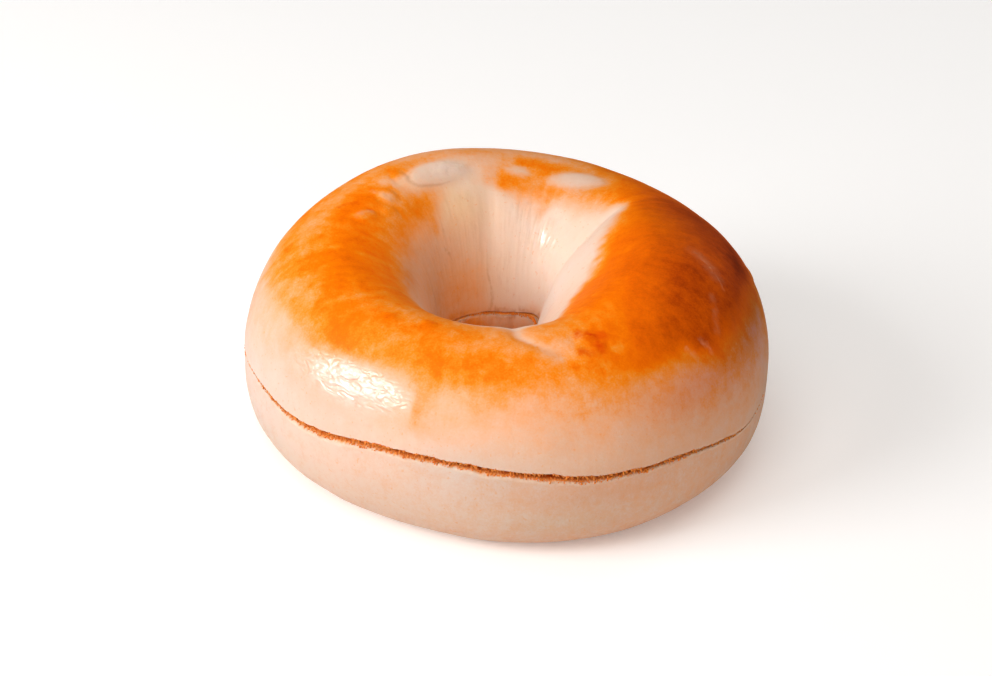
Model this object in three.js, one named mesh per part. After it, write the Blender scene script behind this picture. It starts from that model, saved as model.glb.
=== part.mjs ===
import * as THREE from 'three';

// A plain bagel, sliced through level, with its top half lying back on its bottom half.
// Millimetres, +Z up. The origin is on the table, under the middle of the ring.
//
// A place on the crust has two angles. The bearing goes round the ring: 0 at the front
// (-Y), 90 at the right (+X), 180 at the back. The turn goes round the dough: 0 at the
// outer girth, 90 on the crest, 180 at the waist of the hole, 270 under the base.

const outerRadius = 55;
const crestHeight = 45.7;
const girthHeight = 19.7;
const baseSink = 0.3; // how far the round of the base is pressed flat by the tray
const ringShift = { x: 1.43, y: -0.54 }; // puts the middle of the finished ring over the origin

// Slow swells round the ring, in millimetres, each with its crests at a bearing in degrees.
const girthSwells = [
  { lobes: 2, size: 0.4, at: 54 },
  { lobes: 3, size: 1.6, at: 37 },
  { lobes: 4, size: 0.5, at: -4 },
];
const crestSwells = [
  { lobes: 1, size: 2.2, at: 165 },
  { lobes: 2, size: 2.0, at: 62 },
  { lobes: 3, size: 0.9, at: -31 },
];

// The hole is an oval, cut straight on its right where the end of the rope bulges into it.
const hole = { x: -2.5, y: -1.8, halfWidth: 13.7, halfLength: 16.1, squareness: 2.4, rightWall: 7.9 };
const holeBlend = 9; // how tightly the oval turns into the straight right wall

// How square the dough's section is in each quarter: 2 is an ellipse, more is squarer.
const squareness = { topOuter: 2.05, topInner: 2.0, topInnerDome: 1.4, baseOuter: 3.2, baseInner: 2.3 };

// The rope's end laps over its start in a deep crease on the right of the hole's back wall.
const lap = { depth: 3.0, bearing: 121.5, sweep: 28, backWidth: 5.5, frontWidth: 2.6 };
const dome = { height: 1.5, fromLap: 12, width: 10, bearing: 80, spread: 50 };
const frontCrease = { depth: 0.6, topBearing: 18, waistBearing: 2, width: 2.2 };
const backPleat = { depth: 0.7, bearing: 187, width: 2.5 };
const blisters = [
  { bearing: 210, turn: 104, length: 7, width: 4, height: 0.6 },
  { bearing: 150, turn: 100, length: 6.5, width: 2.8, height: 0.5 },
  { bearing: 228, turn: 108, length: 3.5, width: 2.5, height: 0.4 },
];

// The knife's way through the dough, its wobble in millimetres at the girth.
const cutHeight = 19.4;
const cutSlope = { x: -0.022, y: -0.027 };
const knifeWobble = [
  { lobes: 2, size: 1.1, at: -39 },
  { lobes: 3, size: 0.67, at: 3 },
  { lobes: 5, size: 0.17, at: -7 },
  { lobes: 6, size: 0.5, at: -20 },
  { lobes: 7, size: 0.3, at: -21 },
  { lobes: 8, size: 0.16, at: -17 },
  { lobes: 9, size: 0.48, at: 3 },
];
const closedGap = 0.4; // between the halves where they rest on each other
const frontGap = { height: 1.3, bearing: 12, spread: 32, reach: 5 };
const tornBevel = { drop: 0.7, width: 1.3, bearing: -35, spread: 45 };
const holeLip = { reach: 0.8, spread: 14 }; // the bottom half's torn lip inside the hole
const tears = { depth: 0.45, reach: 2.5 }; // crumb pulled out along the outer edge of the cut
const topTears = [
  { lobes: 17, size: 0.6, at: 4 },
  { lobes: 26, size: 0.5, at: 3 },
];
const bottomTears = [
  { lobes: 19, size: 0.6, at: 8 },
  { lobes: 29, size: 0.5, at: 1 },
];

const columnCount = 104;
const columnCrowding = 25; // degrees that the grid's columns are drawn towards the lap
const leanSpread = 30; // degrees to each side over which they lean with it
const topCrustRows = 27;
const bottomCrustRows = 17;
const faceRows = 6;

const radians = THREE.MathUtils.degToRad;
const degrees = THREE.MathUtils.radToDeg;

// 1 at 0, falling smoothly to nothing a few widths away.
function hump(distance, width) {
  return Math.exp(-((distance / width) ** 2));
}

function ramp(value, from, to) {
  return THREE.MathUtils.smoothstep(value, from, to);
}

// The shortest way round from one bearing to another, -180 to 180.
function bearingGap(from, to) {
  return THREE.MathUtils.euclideanModulo(to - from + 180, 360) - 180;
}

function swell(swells, bearing) {
  let sum = 0;
  for (const { lobes, size, at } of swells) {
    sum += size * Math.cos(radians(lobes * (bearing - at)));
  }
  return sum;
}

function atBearing(centreX, centreY, radius, bearing) {
  const angle = radians(bearing);
  return new THREE.Vector2(centreX + radius * Math.sin(angle), centreY - radius * Math.cos(angle));
}

function girthPoint(bearing) {
  return atBearing(0, 0, outerRadius + swell(girthSwells, bearing), bearing);
}

function waistPoint(bearing) {
  const across = Math.abs(Math.sin(radians(bearing))) / hole.halfWidth;
  const along = Math.abs(Math.cos(radians(bearing))) / hole.halfLength;
  const oval = (across ** hole.squareness + along ** hole.squareness) ** (-1 / hole.squareness);
  const wall = hole.rightWall / Math.max(Math.sin(radians(bearing)), 0.05);
  const radius = (oval ** -holeBlend + wall ** -holeBlend) ** (-1 / holeBlend);
  return atBearing(hole.x, hole.y, radius, bearing);
}

// The height of the knife's cut over a point of the table.
function cutAt(x, y) {
  const bearing = degrees(Math.atan2(x, -y));
  const outward = (x * x + y * y) / outerRadius ** 2;
  return cutHeight + cutSlope.x * x + cutSlope.y * y + swell(knifeWobble, bearing) * outward;
}

// The lap's crease leans back as it goes down to the waist of the hole, and straightens under it.
function lapBearing(turn) {
  const down = THREE.MathUtils.clamp((turn - 85) / 96, 0, 1);
  return lap.bearing + lap.sweep * down * down * (1 - ramp(turn, 181, 330));
}

// How far the crust stands out of its plain section, in millimetres.
function relief(bearing, turn, holeDistance) {
  const inHole = 1 - ramp(turn, 165, 215);
  const mmPerDegree = radians(holeDistance);
  const fromLap = bearingGap(lapBearing(turn), bearing) * mmPerDegree;
  const lapWidth = fromLap > 0 ? lap.backWidth : lap.frontWidth;
  const crease = lap.depth * ramp(turn, 78, 130) * Math.exp(-Math.abs(fromLap) / lapWidth);
  const bulge = dome.height * ramp(turn, 70, 130) * hump(fromLap + dome.fromLap, dome.width);
  let height = (bulge - crease) * inHole;

  const creaseBearing = THREE.MathUtils.lerp(
    frontCrease.topBearing, frontCrease.waistBearing, ramp(turn, 62, 96));
  const fromCrease = bearingGap(creaseBearing, bearing) * mmPerDegree;
  const creaseRun = ramp(turn, 55, 80) * (1 - ramp(turn, 100, 150));
  height -= frontCrease.depth * creaseRun * hump(fromCrease, frontCrease.width);

  const fromPleat = bearingGap(backPleat.bearing, bearing) * mmPerDegree;
  height -= backPleat.depth * ramp(turn, 105, 140) * inHole * hump(fromPleat, backPleat.width);

  for (const blister of blisters) {
    const along = bearingGap(blister.bearing, bearing) * mmPerDegree / blister.length;
    const across = radians(turn - blister.turn) * (crestHeight - girthHeight) / blister.width;
    height += blister.height * Math.exp(-((along * along + across * across) ** 2));
  }
  return height;
}

function sectionSquareness(bearing, turn) {
  const outer = Math.cos(radians(turn)) > 0;
  if (Math.sin(radians(turn)) < 0) {
    return outer ? squareness.baseOuter : squareness.baseInner;
  }
  const nearDome = hump(bearingGap(dome.bearing, bearing), dome.spread);
  return outer
    ? squareness.topOuter
    : THREE.MathUtils.lerp(squareness.topInner, squareness.topInnerDome, nearDome);
}

// A point of the crust: a superellipse stood between the waist and the girth, pushed out
// by the relief along the section's own normal, and pressed flat where it meets the tray.
function crustPoint(bearing, turn) {
  const girth = girthPoint(bearing);
  const waist = waistPoint(bearing);
  const power = sectionSquareness(bearing, turn);
  const cosine = Math.cos(radians(turn));
  const sine = Math.sin(radians(turn));
  const out = Math.sign(cosine) * Math.abs(cosine) ** (2 / power);
  const up = Math.sign(sine) * Math.abs(sine) ** (2 / power);
  const halfHeight = up > 0
    ? crestHeight + swell(crestSwells, bearing) - girthHeight
    : girthHeight + baseSink;
  const thickness = girth.distanceTo(waist);
  const ground = waist.clone().lerp(girth, (1 + out) / 2);

  const normalOut = Math.sign(cosine) * Math.abs(cosine) ** (2 - 2 / power) / (thickness / 2);
  const normalUp = Math.sign(sine) * Math.abs(sine) ** (2 - 2 / power) / halfHeight;
  const normalLength = Math.hypot(normalOut, normalUp) || 1;
  const fromHole = ground.distanceTo(new THREE.Vector2(hole.x, hole.y));
  const push = relief(bearing, turn, fromHole) / normalLength;
  const outward = girth.clone().sub(waist).divideScalar(thickness);
  ground.addScaledVector(outward, normalOut * push);
  const height = girthHeight + halfHeight * up + normalUp * push;
  return new THREE.Vector3(ground.x, ground.y, Math.max(height, 0));
}

// How far a half's face lies from the middle of the cut: half the gap that stands open at
// the front, and what the knife tore out of the outer edge.
function faceDepth(x, y, tearWaves) {
  const bearing = degrees(Math.atan2(x, -y));
  const inward = outerRadius + swell(girthSwells, bearing) - Math.hypot(x, y);
  const open = frontGap.height * hump(bearingGap(frontGap.bearing, bearing), frontGap.spread);
  const torn = tears.depth * Math.max(0, swell(tearWaves, bearing));
  return (closedGap + open * Math.exp(-inward / frontGap.reach)) / 2
    + torn * Math.exp(-inward / tears.reach);
}

function topFaceAt(x, y) {
  return cutAt(x, y) + faceDepth(x, y, topTears);
}

function bottomFaceAt(x, y) {
  const bearing = degrees(Math.atan2(x, -y));
  const inward = outerRadius + swell(girthSwells, bearing) - Math.hypot(x, y);
  const bevel = tornBevel.drop * hump(bearingGap(tornBevel.bearing, bearing), tornBevel.spread);
  return cutAt(x, y) - faceDepth(x, y, bottomTears) - bevel * Math.exp(-inward / tornBevel.width);
}

// The columns of the grids crowd together by the lap, and lean with its crease.
function columnPoint(column, turn, lip) {
  const even = 360 * column / columnCount;
  const crest = even - columnCrowding * Math.sin(radians(even));
  const lean = (lapBearing(turn) - lap.bearing) * hump(crest > 180 ? crest - 360 : crest, leanSpread);
  const point = crustPoint(lap.bearing + crest + lean, turn);
  const tooth = lip * hump(turn - 181, holeLip.spread);
  const inward = new THREE.Vector2(hole.x - point.x, hole.y - point.y).setLength(tooth);
  return new THREE.Vector3(point.x + inward.x, point.y + inward.y, point.z);
}

// The turn between two others at which the crust meets a cut face, found by halving.
function edgeTurn(column, faceAt, lip, from, to) {
  const above = (turn) => {
    const { x, y, z } = columnPoint(column, turn, lip);
    return z > faceAt(x, y);
  };
  const startsAbove = above(from);
  let low = from;
  let high = to;
  for (let step = 0; step < 40; step += 1) {
    const middle = (low + high) / 2;
    if (above(middle) === startsAbove) {
      low = middle;
    } else {
      high = middle;
    }
  }
  return (low + high) / 2;
}

// One section of a half: its crust from one cut edge to the other, then back along the face.
function halfSection(column, half) {
  const { faceAt, lip, crustRows, firstEdge, lastEdge } = half;
  const first = edgeTurn(column, faceAt, lip, ...firstEdge);
  const last = edgeTurn(column, faceAt, lip, ...lastEdge);
  const section = [];
  for (let row = 0; row < crustRows; row += 1) {
    const turn = THREE.MathUtils.lerp(first, last, row / (crustRows - 1));
    section.push(columnPoint(column, turn, lip));
  }
  const start = section[0];
  const end = section[crustRows - 1];
  for (let row = 1; row <= faceRows; row += 1) {
    const along = row / (faceRows + 1);
    const x = THREE.MathUtils.lerp(end.x, start.x, along);
    const y = THREE.MathUtils.lerp(end.y, start.y, along);
    section.push(new THREE.Vector3(x, y, faceAt(x, y)));
  }
  section[0].z = faceAt(start.x, start.y);
  section[crustRows - 1].z = faceAt(end.x, end.y);
  return section;
}

// A grid of sections closed both ways, so the half is one solid ring.
function halfGeometry(half) {
  const positions = [];
  for (let column = 0; column < columnCount; column += 1) {
    for (const point of halfSection(column, half)) {
      positions.push(point.x + ringShift.x, point.y + ringShift.y, point.z);
    }
  }
  const rows = half.crustRows + faceRows;
  const indices = [];
  for (let column = 0; column < columnCount; column += 1) {
    for (let row = 0; row < rows; row += 1) {
      const nextColumn = ((column + 1) % columnCount) * rows;
      const nextRow = (row + 1) % rows;
      const here = column * rows + row;
      const beside = nextColumn + row;
      const across = nextColumn + nextRow;
      const above = column * rows + nextRow;
      indices.push(here, beside, across, here, across, above);
    }
  }
  const geometry = new THREE.BufferGeometry();
  geometry.setAttribute('position', new THREE.Float32BufferAttribute(positions, 3));
  geometry.setIndex(indices);
  geometry.computeVertexNormals();
  return geometry;
}

const topHalf = {
  faceAt: topFaceAt,
  lip: 0,
  crustRows: topCrustRows,
  firstEdge: [-30, 60],
  lastEdge: [120, 215],
};
const bottomHalf = {
  faceAt: bottomFaceAt,
  lip: holeLip.reach,
  crustRows: bottomCrustRows,
  firstEdge: [120, 215],
  lastEdge: [330, 420],
};

const brownedCrust = new THREE.MeshStandardMaterial({ color: 0xd98a3d, roughness: 0.4, metalness: 0 });
const paleCrust = new THREE.MeshStandardMaterial({ color: 0xe8cdb0, roughness: 0.5, metalness: 0 });

const bagelTop = new THREE.Mesh(halfGeometry(topHalf), brownedCrust);
bagelTop.name = 'bagel_top';
const bagelBottom = new THREE.Mesh(halfGeometry(bottomHalf), paleCrust);
bagelBottom.name = 'bagel_bottom';

const bagel = new THREE.Group();
bagel.add(bagelTop, bagelBottom);

export default bagel;
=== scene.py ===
import itertools
import math

import bpy
import numpy as np
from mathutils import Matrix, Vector


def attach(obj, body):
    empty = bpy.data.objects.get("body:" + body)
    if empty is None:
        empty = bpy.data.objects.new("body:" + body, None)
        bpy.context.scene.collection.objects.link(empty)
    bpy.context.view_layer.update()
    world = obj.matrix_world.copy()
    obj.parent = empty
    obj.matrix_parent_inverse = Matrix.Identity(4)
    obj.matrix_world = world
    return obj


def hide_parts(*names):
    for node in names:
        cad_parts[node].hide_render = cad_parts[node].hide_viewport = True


# A sliced plain bagel: two halves of browned dough, the top one lying on the bottom one.
# Shapes are worked out in millimetres and put into the meshes in metres.
# bearing goes round the ring in degrees: 0 front (-Y), 90 right (+X), 180 back.
# turn goes round the dough in degrees: 0 outer girth, 90 crest, 180 waist of the hole, 270 base.

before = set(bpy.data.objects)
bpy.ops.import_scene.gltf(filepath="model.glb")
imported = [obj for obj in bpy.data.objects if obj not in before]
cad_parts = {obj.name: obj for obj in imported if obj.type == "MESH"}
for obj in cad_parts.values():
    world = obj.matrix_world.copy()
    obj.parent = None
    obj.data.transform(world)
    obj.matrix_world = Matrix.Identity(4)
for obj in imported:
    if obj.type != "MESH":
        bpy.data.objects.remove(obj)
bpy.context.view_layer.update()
millimetre = 0.001

ring = {
    "outerRadius": 55.0, "crestHeight": 45.7, "girthHeight": 19.7, "baseSink": 0.3,
    "shiftX": 1.43, "shiftY": -0.54,
    # slow swells: how many lobes, millimetres, bearing of a crest
    "girthSwells": [(2, 0.4, 54), (3, 1.6, 37), (4, 0.5, -4)],
    "crestSwells": [(1, 2.2, 165), (2, 2.0, 62), (3, 0.9, -31)],
    "topOuter": 2.05, "topInner": 2.0, "topInnerDome": 1.4, "baseOuter": 3.2, "baseInner": 2.3,
}
hole = {"x": -2.5, "y": -1.8, "halfWidth": 13.7, "halfLength": 16.1, "squareness": 2.4,
        "rightWall": 7.5, "blend": 9}
camera = {"lens": 101.8, "distance": 600.0, "elevation": 30.0, "targetHeight": 20.0,
          "shiftX": -0.0163, "shiftY": 0.0045}


def addObject(name, data):
    made = bpy.data.objects.new(name, data)
    bpy.context.scene.collection.objects.link(made)
    return made


def makeCamera():
    # looks at a point over the middle of the ring, from straight in front and above
    data = bpy.data.cameras.new("camera")
    data.lens = camera["lens"]
    data.shift_x = camera["shiftX"]
    data.shift_y = camera["shiftY"]
    data.clip_start = 0.05
    made = addObject("camera", data)
    rise = math.radians(camera["elevation"])
    target = Vector((ring["shiftX"], ring["shiftY"], camera["targetHeight"])) * millimetre
    back = Vector((0, -math.cos(rise), math.sin(rise)))
    made.location = target + back * camera["distance"] * millimetre
    made.rotation_euler = (math.pi / 2 - rise, 0, 0)
    bpy.context.scene.camera = made


makeCamera()
print("camera placed")


# small formulas on whole arrays
def hump(distance, width):
    # 1 at nothing, falling off as a bell of that width
    return np.exp(-(distance / width) ** 2)


def ramp(value, low, high):
    # 0 below low, 1 above high, smooth between
    part = np.clip((value - low) / (high - low), 0, 1)
    return part * part * (3 - 2 * part)


def bearingGap(start, end):
    # shortest way round, -180 to 180
    return (end - start + 180) % 360 - 180


def near(at, bearing, spread):
    # 1 at that bearing, falling off to both sides
    return hump(bearingGap(at, bearing), spread)


def swell(swells, bearing):
    # a sum of cosines, each with its own lobes, size and bearing of a crest
    return sum(size * np.cos(np.radians(lobes * (bearing - at))) for lobes, size, at in swells)


def smoothNoise(points, cell, seed):
    # random heights from -1 to 1 on a lattice of that cell, blended smoothly between corners
    size = 32  # cells before the lattice repeats
    lattice = np.random.default_rng(seed).uniform(-1, 1, (size, size, size))
    scaled = points / cell
    corner = np.floor(scaled).astype(int)
    part = scaled - corner
    part = part * part * (3 - 2 * part)
    total = np.zeros(points.shape[:-1])
    for offset in itertools.product((0, 1), repeat=3):
        weight = np.prod(np.where(offset, part, 1 - part), axis=-1)
        index = (corner + offset) % size
        total += weight * lattice[index[..., 0], index[..., 1], index[..., 2]]
    return total


def grain(bearing, turn, radius=40.0, thickness=20.0):
    # a place on the crust as a point in millimetres that closes up round the ring
    angle = np.radians(bearing)
    along = np.radians(turn) * thickness + 0 * bearing
    return np.stack([radius * np.sin(angle), radius * np.cos(angle), along], axis=-1)


def bearingOf(x, y):
    return np.degrees(np.arctan2(x, -y))


def fromHoleMiddle(x, y):
    return np.hypot(x - hole["x"], y - hole["y"])


def girthRadius(bearing):
    # a circle with swells
    return ring["outerRadius"] + swell(ring["girthSwells"], bearing)


def girthPoint(bearing):
    radius, angle = girthRadius(bearing), np.radians(bearing)
    return radius * np.sin(angle), -radius * np.cos(angle)


def waistPoint(bearing):
    # an oval, cut straight on its right where the dome bulges into the hole
    sine, cosine = np.sin(np.radians(bearing)), np.cos(np.radians(bearing))
    power, blend = hole["squareness"], hole["blend"]
    across = np.abs(sine) / hole["halfWidth"]
    along = np.abs(cosine) / hole["halfLength"]
    oval = (across ** power + along ** power) ** (-1 / power)
    wall = hole["rightWall"] / np.maximum(sine, 0.05)
    radius = (oval ** -blend + wall ** -blend) ** (-1 / blend)
    return hole["x"] + radius * sine, hole["y"] - radius * cosine


# the rope's end laps over its start in a crease, and bulges into a dome beside it
lap = {"depth": 3.0, "bearing": 121.5, "sweep": 28.0, "backWidth": 5.5, "frontWidth": 2.6,
       "round": 0.7}
dome = {"height": 1.5, "fromLap": 12.0, "width": 10.0, "bearing": 80.0, "spread": 50.0}
frontCrease = {"depth": 0.6, "topBearing": 15.0, "waistBearing": 4.0, "width": 2.0}
backPleat = {"depth": 0.7, "bearing": 187.0, "width": 2.5}


def lapBearing(turn):
    # the lap's crease leans back as the square of the way down to the waist
    down = np.clip((turn - 85) / 96, 0, 1)
    return lap["bearing"] + lap["sweep"] * down * down * (1 - ramp(turn, 181, 330))


def frontCreaseBearing(turn):
    swing = ramp(turn, 66, 94)
    return frontCrease["topBearing"] * (1 - swing) + frontCrease["waistBearing"] * swing


def largeRelief(bearing, turn, fromHole):
    # millimetres the crust stands out: the lap's crease, the dome beside it and the folds
    inHole = 1 - ramp(turn, 165, 215)
    perDegree = np.radians(fromHole)
    fromLap = bearingGap(lapBearing(turn), bearing) * perDegree
    width = np.where(fromLap > 0, lap["backWidth"], lap["frontWidth"])
    rounded = np.hypot(fromLap, lap["round"]) - lap["round"]
    crease = lap["depth"] * ramp(turn, 78, 130) * np.exp(-rounded / width)
    bulge = dome["height"] * ramp(turn, 70, 130) * hump(fromLap + dome["fromLap"], dome["width"])
    height = (bulge - crease) * inHole
    fromCrease = bearingGap(frontCreaseBearing(turn), bearing) * perDegree
    creaseRun = ramp(turn, 55, 80) * (1 - ramp(turn, 100, 150))
    height -= frontCrease["depth"] * creaseRun * hump(fromCrease, frontCrease["width"])
    fromPleat = bearingGap(backPleat["bearing"], bearing) * perDegree
    height -= backPleat["depth"] * ramp(turn, 105, 140) * inHole * hump(fromPleat, backPleat["width"])
    return height


# raised skins of trapped steam: bearing, turn, half length and half width in mm, lean, height
blisters = [
    (210, 104, 7, 4, 0, 0.5), (151.4, 97, 6.3, 2.7, 37, 0.25), (237, 104, 1.8, 2.6, 15, 0.3),
    (253, 101, 1.8, 2.8, 25, 0.3), (225, 97, 1.5, 2.4, 0, 0.25), (243, 112, 1.4, 2.2, 20, 0.2),
    (176, 104, 3, 1.8, 0, 0.2), (22.5, 78, 2, 1.3, -15, 0.3), (24, 69, 1.8, 0.8, 0, 0.25),
    (-27, 92, 1.6, 2.2, 20, 0.2), (-16, -5, 1.1, 0.9, 0, 0.25), (-13.5, -6.5, 0.7, 0.7, 0, 0.2),
    (-20, -3, 0.8, 0.6, 0, 0.18), (-33, 17, 0.8, 0.7, 0, 0.16), (-38, 14, 0.6, 0.6, 0, 0.15),
    (320, 84, 1.8, 2.6, 30, 0.2), (62, 40, 2.4, 1.6, 0, 0.2), (300, 58, 1.6, 1.6, 0, 0.15),
    (95, 30, 1.8, 1.4, 0, 0.2), (140, 38, 2.6, 2, 0, 0.3), (195, 52, 2.8, 2.2, 20, 0.3),
    (222, 28, 1.8, 1.4, 0, 0.2), (260, 48, 1.8, 1.8, 0, 0.2),
]
sectionRadius = 24  # mm, the dough's section taken as round


def spotAxes(bearing, turn, spot, fromHole):
    # how far along and up from a spot's middle, in half lengths and half widths, turned by its lean
    atBearing, atTurn, halfLength, halfWidth, lean = spot[:5]
    along = bearingGap(atBearing, bearing) * np.radians(fromHole)
    up = np.radians(turn - atTurn) * sectionRadius
    cosine, sine = math.cos(math.radians(lean)), math.sin(math.radians(lean))
    return (along * cosine + up * sine) / halfLength, (up * cosine - along * sine) / halfWidth


def fromSpot(bearing, turn, spot, fromHole):
    # 0 in the middle of a spot, 1 at its edge
    return np.hypot(*spotAxes(bearing, turn, spot, fromHole))


# where the glaze dried thick and wrinkled: bearing, turn, half width and height in degrees, strength
glazePatches = [(-40, 34.5, 17, 12, 1.0), (160, 131, 16, 14, 0.8), (203, 103, 8, 8, 0.3)]


def glazeOf(bearing, turn):
    # flat-topped ovals added up
    total = np.zeros(np.broadcast(bearing, turn).shape)
    for atBearing, atTurn, width, height, strength in glazePatches:
        distance = np.hypot(bearingGap(atBearing, bearing) / width, (turn - atTurn) / height)
        total += strength * np.exp(-distance ** 4)
    return total


# heights in millimetres, but the moat is a share of its blister's rise; the glaze's own wrinkles
# come on top of the plain ones as far as it lies there
relief = {"moat": 0.35, "lump": 0.30, "smallLump": 0.12, "crawl": 0.012, "glazeCrawl": 0.07,
          "curl": 0.008, "glazeCurl": 0.06, "pleat": 0.08, "wrinkle": 0.13}


def ridges(place, cell, seed):
    # sharp lines, 1 along them and down to -1, where smooth noise passes through nothing
    return 1 - np.abs(smoothNoise(place, cell, seed)) * 2


def smallRelief(bearing, turn, fromHole, place):
    # blisters with a moat round them, slack lumps, the glaze's wrinkles and pleats down the hole
    height = np.zeros(turn.shape)
    for *spot, rise in blisters:
        distance = fromSpot(bearing, turn, spot, fromHole)
        height += rise * (np.exp(-distance ** 4) - relief["moat"] * hump(distance - 1.3, 0.35))
    height += relief["lump"] * smoothNoise(place, 17, 1)
    height += relief["smallLump"] * smoothNoise(place, 7, 2)
    bends = [smoothNoise(place, 3.2, 51 + axis) for axis in range(3)]
    bent = place + 1.3 * np.stack(bends, axis=-1)
    glaze = glazeOf(bearing, turn)
    height += ridges(bent, 2.2, 3) * (relief["crawl"] + relief["glazeCrawl"] * glaze)
    height += ridges(bent, 1.5, 4) * (relief["curl"] + relief["glazeCurl"] * glaze)
    inside = grain(bearing, turn * 0.2, 16)
    pleats = smoothNoise(inside, 1.9, 5) + 0.6 * ridges(inside, 1.1, 6) + 0.35 * ridges(inside, 0.6, 7)
    backRight = near(154, bearing, 20) * hump(turn - 138, 26)
    uneven = 0.5 + 0.5 * ramp(smoothNoise(place, 8, 8), -0.3, 0.5)
    height += relief["pleat"] * pleats * hollowOf(bearing, turn) * np.maximum(uneven, backRight)
    # wrinkles that run beside the lap's crease
    fromLap = bearingGap(lapBearing(turn), bearing)
    slack = hump(fromLap - 20, 15) * ramp(turn, 112, 126) * (1 - ramp(turn, 142, 162))
    beside = grain(fromLap * 0.4, turn * 0.5)
    wrinkles = ridges(beside, 1.1, 9) + 0.5 * smoothNoise(beside, 0.6, 10)
    return height + relief["wrinkle"] * wrinkles * slack


def hollowOf(bearing, turn):
    # 1 on the pleated wall of the hole, less on the dome beside the lap
    inHole = ramp(turn, 100, 135) * (1 - ramp(turn, 200, 240))
    return inHole * (1 - 0.75 * near(100, bearing, 32))


def signedPower(value, power):
    return np.sign(value) * np.abs(value) ** power


def squarenessAt(bearing, turn):
    # the section's superellipse power in each quarter
    nearDome = near(dome["bearing"], bearing, dome["spread"])
    inner = ring["topInner"] + (ring["topInnerDome"] - ring["topInner"]) * nearDome
    outer = np.cos(np.radians(turn)) > 0
    base = np.where(outer, ring["baseOuter"], ring["baseInner"])
    return np.where(np.sin(np.radians(turn)) < 0, base, np.where(outer, ring["topOuter"], inner))


def crustPoints(bearing, turn):
    # a superellipse between waist and girth, pushed out by the relief along its own normal
    girthX, girthY = girthPoint(bearing)
    waistX, waistY = waistPoint(bearing)
    power = squarenessAt(bearing, turn)
    cosine, sine = np.cos(np.radians(turn)), np.sin(np.radians(turn))
    out = signedPower(cosine, 2 / power)
    up = signedPower(sine, 2 / power)
    crest = ring["crestHeight"] + swell(ring["crestSwells"], bearing) - ring["girthHeight"]
    halfHeight = np.where(up > 0, crest, ring["girthHeight"] + ring["baseSink"])
    acrossX, acrossY = girthX - waistX, girthY - waistY
    thickness = np.hypot(acrossX, acrossY)
    x = waistX + acrossX * (1 + out) / 2
    y = waistY + acrossY * (1 + out) / 2
    normalOut = signedPower(cosine, 2 - 2 / power) / (thickness / 2)
    normalUp = signedPower(sine, 2 - 2 / power) / halfHeight
    normalLength = np.maximum(np.hypot(normalOut, normalUp), 1e-9)
    fromHole = fromHoleMiddle(x, y)
    plain = np.stack([x, y, ring["girthHeight"] + halfHeight * up], axis=-1)
    push = largeRelief(bearing, turn, fromHole) + smallRelief(bearing, turn, fromHole, plain)
    push = push / normalLength
    x = x + acrossX / thickness * normalOut * push
    y = y + acrossY / thickness * normalOut * push
    z = ring["girthHeight"] + halfHeight * up + normalUp * push
    return np.stack([x, y, np.maximum(z, 0)], axis=-1)


cut = {
    "height": 19.4, "slopeX": -0.022, "slopeY": -0.027,
    "wobble": [(2, 1.1, -39), (3, 0.67, 3), (5, 0.17, -7), (6, 0.5, -20), (7, 0.3, -21),
               (8, 0.16, -17), (9, 0.48, 3)],
    # the gap between the halves where they lie on each other, and what opens at the front
    "closedGap": 0.14, "frontGap": 0.95, "frontBearing": 10, "frontSpread": 34, "frontReach": 1.8,
    # the torn bevel of the bottom half: bearing, spread, drop and width in mm
    "bevels": [(-44, 26, 1.4, 1.7), (8, 34, 0.5, 0.9)],
    "tearDepth": 0.32, "tearReach": 1.0,
    "holeGap": 0.26, "holeReach": 0.9, "lipReach": 0.8, "lipSpread": 14,
}


def cutHeight(x, y):
    # a tilted plane with the knife's wobble growing outwards as the square of the radius
    bearing = bearingOf(x, y)
    outward = (x * x + y * y) / ring["outerRadius"] ** 2
    wobble = swell(cut["wobble"], bearing) * outward
    return cut["height"] + cut["slopeX"] * x + cut["slopeY"] * y + wobble


def inwardOf(x, y):
    # the bearing of a point and its distance in from the girth
    bearing = bearingOf(x, y)
    return bearing, girthRadius(bearing) - np.hypot(x, y)


def tearing(bearing, seed, radius=55.0):
    # crumb torn out of an edge of that radius, 0 or more, at three sizes of tear
    place = grain(bearing, 0 * bearing, radius)
    rough = smoothNoise(place, 5.5, seed) + 0.8 * smoothNoise(place, 2.0, seed + 1)
    rough += 0.7 * smoothNoise(place, 0.95, seed + 2)
    return np.maximum(rough + 0.25, 0)


def faceDepth(x, y, seed):
    # how far a face lies from the middle of the cut
    bearing, inward = inwardOf(x, y)
    atFront = cut["frontGap"] * near(cut["frontBearing"], bearing, cut["frontSpread"])
    exposed = 0.35 + 0.65 * near(-5, bearing, 45)  # torn most at the front
    torn = cut["tearDepth"] * tearing(bearing, seed) * exposed
    # the same again, smaller, round the hole
    around = bearingOf(x - hole["x"], y - hole["y"])
    toWaist = fromHoleMiddle(x, y) - fromHoleMiddle(*waistPoint(around))
    ragged = 2.0 * tearing(around, seed + 50, 14.0)
    atHole = cut["holeGap"] * ragged * np.exp(-np.abs(toWaist) / cut["holeReach"])
    gap = cut["closedGap"] + atFront * np.exp(-inward / cut["frontReach"]) + atHole
    return gap / 2 + torn * np.exp(-np.abs(inward) / cut["tearReach"])


def topFace(x, y):
    # the middle of the cut, raised by half the gap
    return cutHeight(x, y) + faceDepth(x, y, 11)


def bottomFace(x, y):
    # the middle of the cut, lowered by half the gap and by bevels that fade inwards
    bearing, inward = inwardOf(x, y)
    height = cutHeight(x, y) - faceDepth(x, y, 21)
    for atBearing, spread, drop, width in cut["bevels"]:
        height -= drop * near(atBearing, bearing, spread) * np.exp(-inward / width)
    return height


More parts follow.
